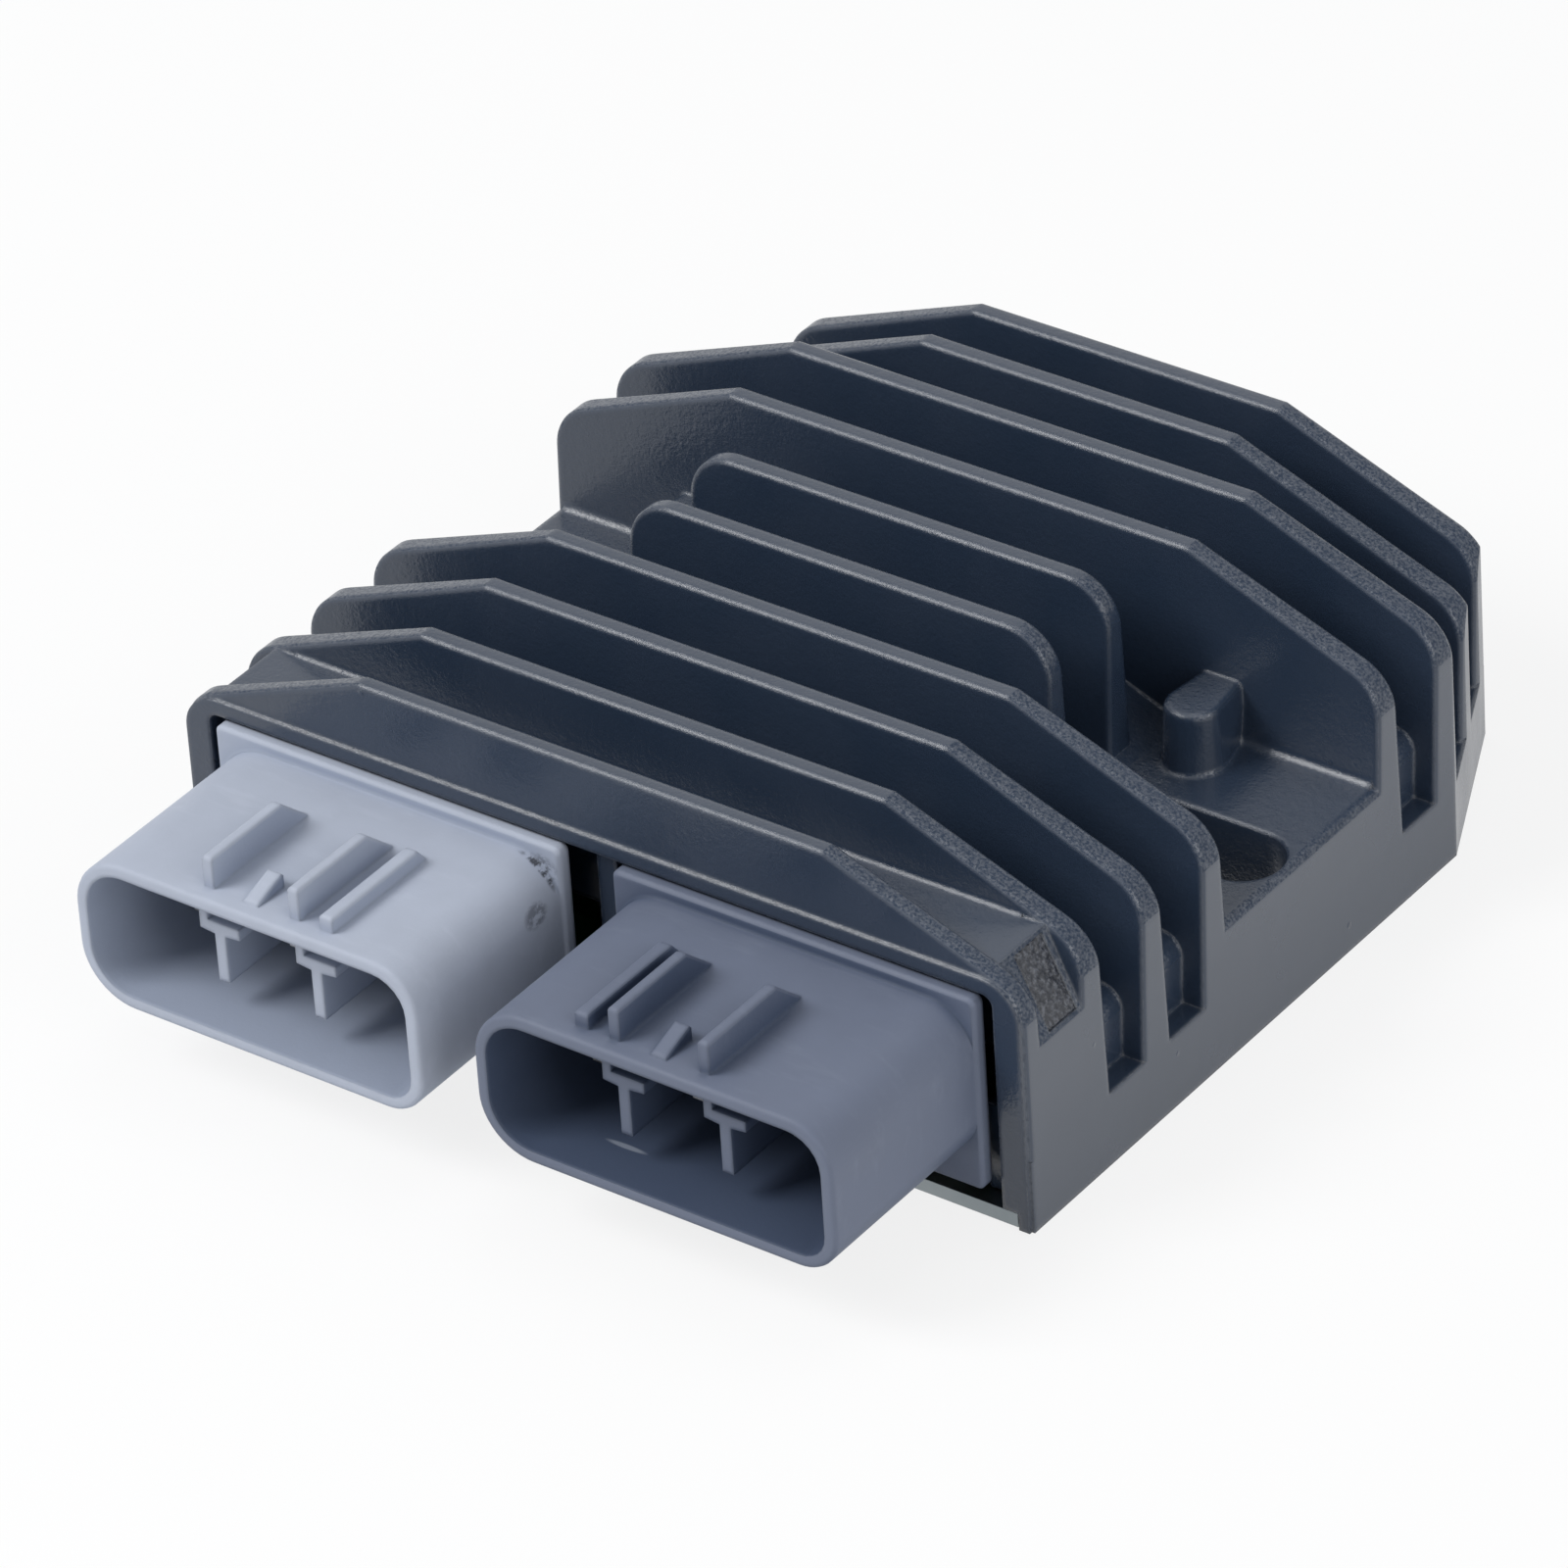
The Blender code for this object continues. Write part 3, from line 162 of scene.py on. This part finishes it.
class Finish:
    """A Principled material, with short ways to add nodes to it."""

    def __init__(self, name, **values):
        self.made = bpy.data.materials.new(name)
        self.made.use_nodes = True
        self.tree = self.made.node_tree
        self.shader = self.tree.nodes["Principled BSDF"]
        self.fill(self.shader, values)
        self.place = self.add("TexCoord").outputs["Object"]

    def feed(self, sockets, values):
        """Gives each socket its value, which is a number, a colour or another node's socket."""
        for socket, value in zip(sockets, values):
            if isinstance(value, bpy.types.NodeSocket):
                self.tree.links.new(value, socket)
            else:
                socket.default_value = value

    def fill(self, node, values):
        self.feed([node.inputs[key.replace("_", " ")] for key in values], values.values())

    def add(self, kind, settings=None, **values):
        node = self.tree.nodes.new("ShaderNode" + kind)
        for key, value in (settings or {}).items():
            setattr(node, key, value)
        self.fill(node, values)
        return node

    def ramp(self, value, low, high, to_low=0.0, to_high=1.0):
        """Clamped straight change from to_low to to_high while the value goes from low to high."""
        node = self.add("MapRange")
        self.feed(node.inputs, (value, low, high, to_low, to_high))
        return node.outputs["Result"]

    def spread(self, noise_value, to_low=0.0, to_high=1.0):
        """Ramp over the usual range of a noise."""
        return self.ramp(noise_value, *NOISE_RANGE, to_low, to_high)

    def math(self, operation, *values):
        node = self.add("Math", {"operation": operation})
        self.feed(node.inputs, values)
        return node.outputs["Value"]

    def times(self, first, second):
        return self.math("MULTIPLY", first, second)

    def vector_math(self, operation, *values):
        node = self.add("VectorMath", {"operation": operation})
        self.feed(node.inputs, values)
        return node.outputs

    def mix(self, factor, first, second):
        """Colour from first to second as the factor goes from 0 to 1."""
        node = self.add("Mix", {"data_type": "RGBA"})
        self.feed([node.inputs[0]], [factor])
        for index, colour in zip(MIX_INPUTS, (first, second)):
            solid = colour if isinstance(colour, bpy.types.NodeSocket) else (*colour, 1.0)
            self.feed([node.inputs[index]], [solid])
        return node.outputs[MIX_OUTPUT]

    def part_of(self, vector, axis):
        return self.add("SeparateXYZ", Vector=vector).outputs[axis]

    def noise(self, wavelength, detail=2.0, roughness=0.5, stretch=None):
        """Noise from 0 to 1 whose lumps are about this many metres across."""
        at = self.place
        if stretch:
            at = self.add("Mapping", Vector=at, Scale=stretch).outputs["Vector"]
        values = {"Vector": at, "Scale": 1 / wavelength, "Detail": detail, "Roughness": roughness}
        return self.add("TexNoise", **values).outputs["Fac"]

    def spots(self, spacing, size, share):
        """Round spots of this size, on a share of the cells of a random pattern."""
        cells = self.add("TexVoronoi", Vector=self.place, Scale=1 / spacing)
        reach = size / spacing
        round_spot = self.ramp(cells.outputs["Distance"], reach, reach * 0.35)
        picked = self.add("SeparateColor", Color=cells.outputs["Color"]).outputs["Red"]
        return self.times(round_spot, self.ramp(picked, 1 - share, 1 - share * 0.8))

    def patch(self, centre, size):
        """1 at a point of the part, falling to 0 at the rim of an oval with these half sizes."""
        apart = self.vector_math("SUBTRACT", self.place, centre)["Vector"]
        scaled = self.vector_math("DIVIDE", apart, size)["Vector"]
        return self.ramp(self.vector_math("LENGTH", scaled)["Value"], 1.0, 0.6)

    def facing(self):
        """Normal of the surface."""
        return self.add("NewGeometry").outputs["Normal"]

    def soft_edges(self, radius):
        """Normal with every edge rounded by this radius."""
        return self.add("Bevel", {"samples": 6}, Radius=radius).outputs["Normal"]

    def edge(self, radius):
        """1 on sharp edges and 0 away from them."""
        alike = self.vector_math("DOT_PRODUCT", self.soft_edges(radius), self.facing())["Value"]
        return self.ramp(self.math("SUBTRACT", 1.0, alike), 0.02, 0.25)

    def depth(self, distance):
        """0 on open surfaces, up to 1 far inside a hollow of the same piece. It sets where shade is
        painted.
        """
        seen = self.add("AmbientOcclusion", {"samples": 8, "only_local": True}, Distance=distance)
        return self.ramp(seen.outputs["AO"], 0.80, 0.50)

    def relief(self, height, depth, **below):
        """Normal of a bumpy surface. The height goes from 0 to 1, and depth is its real size."""
        return self.add("Bump", Height=height, Distance=depth, Strength=1.0, **below).outputs["Normal"]

    def wear(self, **values):
        self.fill(self.shader, values)
        return self.made


def casting_paint():
    """Semi-gloss black paint over a die casting: smooth outer sides, and a coarse cast skin elsewhere."""
    finish = Finish("casting_paint", IOR=1.52)
    cloud = finish.noise(14 * MM, 4.0, 0.55)
    facing = finish.facing()
    side = finish.math("ABSOLUTE", finish.part_of(facing, "X"))
    up = finish.part_of(facing, "Z")

    # Depth of the cast skin: full on most faces, slight on the outer sides.
    skin = finish.ramp(side, 0.80, 0.97, 1.0, 0.12)

    # The gloss is even on sides and level faces, and grainy on the fins' sloping shoulders.
    film = finish.ramp(finish.part_of(finish.place, "Z"), 0.0, CORE_TOP, 0.66, 0.94)
    even = finish.ramp(side, 0.97, 0.995, 0.62, film)
    grainy = finish.ramp(finish.noise(0.30 * MM, 2.0, 0.6), 0.38, 0.66, 0.12, 0.90)
    slope = finish.times(finish.ramp(side, 0.20, 0.35), finish.ramp(up, 0.05, 0.15))
    gloss = finish.ramp(slope, 0.0, 1.0, even, grainy)

    # The paint is pale on broken lengths of the edges: partly thin paint from wear, partly a painted
    # highlight along the edges.
    dark = finish.mix(finish.spread(cloud), *PAINT)
    broken = finish.ramp(finish.noise(0.8 * MM, 3.0, 0.7), 0.36, 0.56)
    worn_and_highlight = finish.times(finish.times(finish.edge(0.42 * MM), broken), skin)
    colour = finish.mix(finish.times(worn_and_highlight, 0.55), dark, PAINT_WORN_AND_HIGHLIGHT)

    # Long waves, orange peel, cast grain and a few pimples.
    waves = finish.relief(finish.noise(6 * MM), 0.05 * MM, Normal=finish.soft_edges(0.80 * MM))
    peel = finish.relief(finish.noise(0.9 * MM, 3.0, 0.6), finish.times(skin, 0.05 * MM), Normal=waves)
    grain = finish.relief(finish.noise(0.38 * MM, 2.0, 0.6), finish.times(skin, 0.035 * MM), Normal=peel)
    normal = finish.relief(finish.spots(6.5 * MM, 0.40 * MM, 0.30), 0.10 * MM, Normal=grain)
    shine = finish.ramp(cloud, 0.3, 0.75, 0.21, 0.31)
    return finish.wear(Base_Color=colour, Roughness=shine, Specular_IOR_Level=gloss, Normal=normal)


def gate_scar():
    """Paint over the broken face of the gate: pale crests and black pits."""
    finish = Finish("gate_scar", IOR=1.52, Specular_IOR_Level=0.6)
    coarse = finish.noise(0.5 * MM, 4.0, 0.7)
    colour = finish.mix(finish.ramp(coarse, 0.46, 0.64), *SCAR)
    normal = finish.relief(coarse, 0.20 * MM)
    return finish.wear(Base_Color=colour, Roughness=finish.spread(coarse, 0.5, 0.3), Normal=normal)


def moulded(name, colour, light, painted_shade, roughness, gloss, dark_marks=(), scratches=()):
    """Matte plastic with a fine grain, mottling, painted highlights on the edges, painted shade in
    hollows and on faces that turn down, and marks.
    """
    finish = Finish(name, IOR=1.48, Specular_IOR_Level=gloss)
    mottle = finish.noise(7 * MM, 4.0, 0.6)
    flow = finish.noise(4 * MM, 3.0, 0.6, stretch=(0.5, 2.2, 1.0))
    rounded = finish.soft_edges(0.70 * MM)
    # Painted shade on faces that turn down, strongest on the lower rounded edges.
    shaded_underside = finish.ramp(finish.part_of(rounded, "Z"), -0.05, -0.60, 0.0, 0.9)
    base = finish.mix(finish.spread(mottle), colour, [c * 1.08 for c in colour])
    base = finish.mix(finish.times(finish.ramp(flow, 0.55, 0.75), 0.15), base, light)
    # Painted highlight: edges are mixed towards the pale colour.
    base = finish.mix(finish.times(finish.edge(0.22 * MM), 0.25), base, light)
    # Painted shade: hollows are mixed towards the dark colour.
    base = finish.mix(finish.depth(40 * MM), base, painted_shade)
    base = finish.mix(shaded_underside, base, painted_shade)
    for centre, size, strength in dark_marks:
        torn = finish.ramp(finish.noise(0.9 * MM, 4.0, 0.7, stretch=(1.0, 0.5, 1.0)), 0.42, 0.54)
        mark = finish.times(finish.patch(centre, size), torn)
        base = finish.mix(finish.times(mark, strength), base, DARK_MARK)
    for centre, size in scratches:
        base = finish.mix(finish.patch(centre, size), base, light)
    grain = finish.relief(finish.noise(0.35 * MM, 2.0, 0.6), 0.012 * MM, Normal=rounded)
    normal = finish.relief(mottle, 0.03 * MM, Normal=grain)
    shine = finish.spread(mottle, roughness, roughness + 0.1)
    return finish.wear(Base_Color=base, Roughness=shine, Normal=normal)


def rolled_sheet():
    """Bare aluminium sheet with rolling lines and dull patches."""
    finish = Finish("rolled_sheet", Metallic=1.0)
    lines = finish.noise(0.5 * MM, 3.0, 0.6, stretch=(0.06, 1.0, 1.0))
    dull = finish.noise(12 * MM, 4.0, 0.6)
    colour = finish.mix(finish.spread(dull), *SHEET)
    colour = finish.mix(finish.ramp(lines, 0.6, 0.8, 0.0, 0.3), colour, SHEET_LINES)
    normal = finish.relief(lines, 0.008 * MM, Normal=finish.soft_edges(0.15 * MM))
    return finish.wear(Base_Color=colour, Roughness=finish.spread(dull, 0.32, 0.5), Normal=normal)


def tinned_strip():
    """Tinned metal strip with drawing lines and dull patches."""
    finish = Finish("tinned_strip", Metallic=1.0)
    dull = finish.noise(2.5 * MM, 4.0, 0.6)
    colour = finish.mix(finish.ramp(dull, 0.35, 0.7), *TIN)
    lines = finish.noise(0.3 * MM, 2.0, 0.5, stretch=(1.0, 0.08, 1.0))
    normal = finish.relief(lines, 0.006 * MM, Normal=finish.soft_edges(0.1 * MM))
    return finish.wear(Base_Color=colour, Roughness=finish.spread(dull, 0.24, 0.42), Normal=normal)


def circuit_mask():
    """Green solder mask over a pattern of broad copper areas."""
    finish = Finish("circuit_mask", IOR=1.5)
    areas = finish.add("TexVoronoi", {"distance": "CHEBYCHEV"}, Vector=finish.place, Scale=1 / (7 * MM))
    copper = finish.ramp(areas.outputs["Distance"], 0.40, 0.43)
    normal = finish.relief(copper, 0.03 * MM)
    shine = finish.spread(finish.noise(3 * MM), 0.28, 0.42)
    return finish.wear(Base_Color=finish.mix(copper, *MASK), Roughness=shine, Normal=normal)


def plain_piece(name, first, second, roughness, wavelength, depth):
    """Inner piece: two tones in soft patches over a fine relief."""
    finish = Finish(name, IOR=1.5)
    patch = finish.noise(wavelength, 4.0, 0.6)
    colour = finish.mix(finish.ramp(patch, 0.35, 0.65), first, second)
    shine = finish.spread(patch, roughness, roughness + 0.12)
    fine = finish.noise(wavelength / 8, 3.0, 0.6)
    normal = finish.relief(fine, depth, Normal=finish.soft_edges(0.12 * MM))
    return finish.wear(Base_Color=colour, Roughness=shine, Normal=normal)


def dress(nodes, finish):
    for name in nodes:
        made = frame["nodes"][name]
        for place in made.material_slots:
            place.material = finish


def gate_point(along, y, depth):
    """Point on the roof's slope: this far down it, at this Y and this deep under its surface."""
    length = math.hypot(GATE_RIGHT, GATE_DOWN)
    down = Vector((GATE_RIGHT / length, 0, -GATE_DOWN / length))
    into = Vector((-GATE_DOWN / length, 0, -GATE_RIGHT / length))
    return GATE_CORNER + down * along + into * depth + Vector((0, y, 0))


def broken_gate():
    """Closed slab that fills the recess, with a rough upper face that stays under the slope's surface."""
    columns, rows = GATE_STEPS
    points = []
    for top in (True, False):
        for row in range(rows + 1):
            for column in range(columns + 1):
                along = GATE_LOW + (GATE_HIGH - GATE_LOW) * column / columns
                y = GATE_FRONT + (GATE_BACK - GATE_FRONT) * row / rows
                lump = noise.fractal(Vector((along, y, 0)) / GATE_LUMP, 0.8, 2.2, 3)
                rough = GATE_FACE + GATE_ROUGH * max(-1.0, min(1.0, 1.6 * lump))
                inside = min(column, row, columns - column, rows - row) > 0
                depth = (rough if inside else GATE_RIM) if top else GATE_FLOOR
                points.append(gate_point(along, y, depth))
    layer = (columns + 1) * (rows + 1)
    faces = []
    for row in range(rows):
        for column in range(columns):
            at = row * (columns + 1) + column
            loop = (at, at + columns + 1, at + columns + 2, at + 1)
            faces.append(loop)
            faces.append(tuple(layer + point for point in reversed(loop)))
    rim = list(range(columns + 1))
    rim += [row * (columns + 1) + columns for row in range(1, rows + 1)]
    rim += [rows * (columns + 1) + column for column in range(columns - 1, -1, -1)]
    rim += [row * (columns + 1) for row in range(rows - 1, 0, -1)]
    for here, after in zip(rim, rim[1:] + rim[:1]):
        faces.append((here, after, layer + after, layer + here))
    mesh = bpy.data.meshes.new("broken_gate")
    mesh.from_pydata(points, [], faces)
    mesh.materials.append(gate_scar())
    mesh.shade_smooth()
    mesh.set_sharp_from_angle(angle=GATE_SHARP)
    made = bpy.data.objects.new("broken_gate", mesh)
    bpy.context.scene.collection.objects.link(made)
    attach(made, "root")


def white_when_seen(tree, surface, strength):
    """Mixes white light into a shader for the camera, reflections and glass, by this share."""
    path = tree.nodes.new("ShaderNodeLightPath")
    seen = path.outputs["Is Camera Ray"]
    for name in ("Is Glossy Ray", "Is Transmission Ray"):
        either = tree.nodes.new("ShaderNodeMath")
        either.operation = "MAXIMUM"
        tree.links.new(seen, either.inputs[0])
        tree.links.new(path.outputs[name], either.inputs[1])
        seen = either.outputs["Value"]
    share = tree.nodes.new("ShaderNodeMath")
    share.operation = "MULTIPLY"
    share.inputs[1].default_value = strength
    tree.links.new(seen, share.inputs[0])
    glow = tree.nodes.new("ShaderNodeEmission")
    mixed = tree.nodes.new("ShaderNodeMixShader")
    tree.links.new(share.outputs["Value"], mixed.inputs[0])
    tree.links.new(surface, mixed.inputs[1])
    tree.links.new(glow.outputs["Emission"], mixed.inputs[2])
    return mixed.outputs["Shader"]


def floor():
    bpy.ops.mesh.primitive_plane_add(size=FLOOR_SIZE, location=(0, 0, -FLOOR_DROP))
    made = bpy.context.object
    made.name = "floor"
    paper = bpy.data.materials.new("white_paper")
    paper.use_nodes = True
    tree = paper.node_tree
    shader = tree.nodes["Principled BSDF"]
    shader.inputs["Base Color"].default_value = FLOOR_COLOUR
    shader.inputs["Roughness"].default_value = FLOOR_ROUGHNESS
    seen = white_when_seen(tree, shader.outputs["BSDF"], FLOOR_GLOW)
    tree.links.new(seen, tree.nodes["Material Output"].inputs["Surface"])
    made.data.materials.append(paper)


def world():
    made = bpy.data.worlds.new("studio")
    made.use_nodes = True
    tree = made.node_tree
    plain = tree.nodes["Background"]
    plain.inputs["Color"].default_value = WORLD_COLOUR
    plain.inputs["Strength"].default_value = WORLD_LEVEL
    seen = white_when_seen(tree, plain.outputs["Background"], 1.0)
    tree.links.new(seen, tree.nodes["World Output"].inputs["Surface"])
    bpy.context.scene.world = made


def softbox(name, azimuth, elevation, distance, size, power):
    """Square lamp that faces the part from this direction."""
    a = math.radians(azimuth)
    e = math.radians(elevation)
    back = Vector((math.sin(a) * math.cos(e), -math.cos(a) * math.cos(e), math.sin(e)))
    light = bpy.data.lights.new(name, "AREA")
    light.size = size
    light.energy = power
    made = bpy.data.objects.new(name, light)
    made.location = back * distance
    made.rotation_mode = "QUATERNION"
    made.rotation_quaternion = (-back).to_track_quat("-Z", "Y")
    bpy.context.scene.collection.objects.link(made)


def camera():
    """Camera turned by azimuth, elevation and roll, as the photo was taken."""
    a = math.radians(CAMERA_AZIMUTH)
    e = math.radians(CAMERA_ELEVATION)
    forward = Vector((-math.sin(a) * math.cos(e), math.cos(a) * math.cos(e), -math.sin(e)))
    level = Vector((math.cos(a), math.sin(a), 0))
    up = level.cross(forward)
    turn = Matrix((level, up, -forward)).transposed().to_4x4()
    lens = bpy.data.cameras.new("camera")
    lens.lens = CAMERA_LENS
    lens.sensor_width = CAMERA_SENSOR
    made = bpy.data.objects.new("camera", lens)
    rolled = Matrix.Rotation(-math.radians(CAMERA_ROLL), 4, "Z")
    made.matrix_world = Matrix.Translation(CAMERA_AT) @ turn @ rolled
    bpy.context.scene.collection.objects.link(made)
    bpy.context.scene.camera = made


bpy.context.scene.view_settings.view_transform = "Standard"
camera()
world()
floor()
for lamp in LAMPS:
    softbox(*lamp)

dress(["heatsink_housing"], casting_paint())
broken_gate()
dress(["base_plate"], rolled_sheet())
for node, look in SOCKETS.items():
    dress([node], moulded(**look))
dress(BLADES + ["current_shunt"], tinned_strip())
dress(["circuit_board"], circuit_mask())
for *look, nodes in INNER_PIECES:
    dress(nodes, plain_piece(*look))
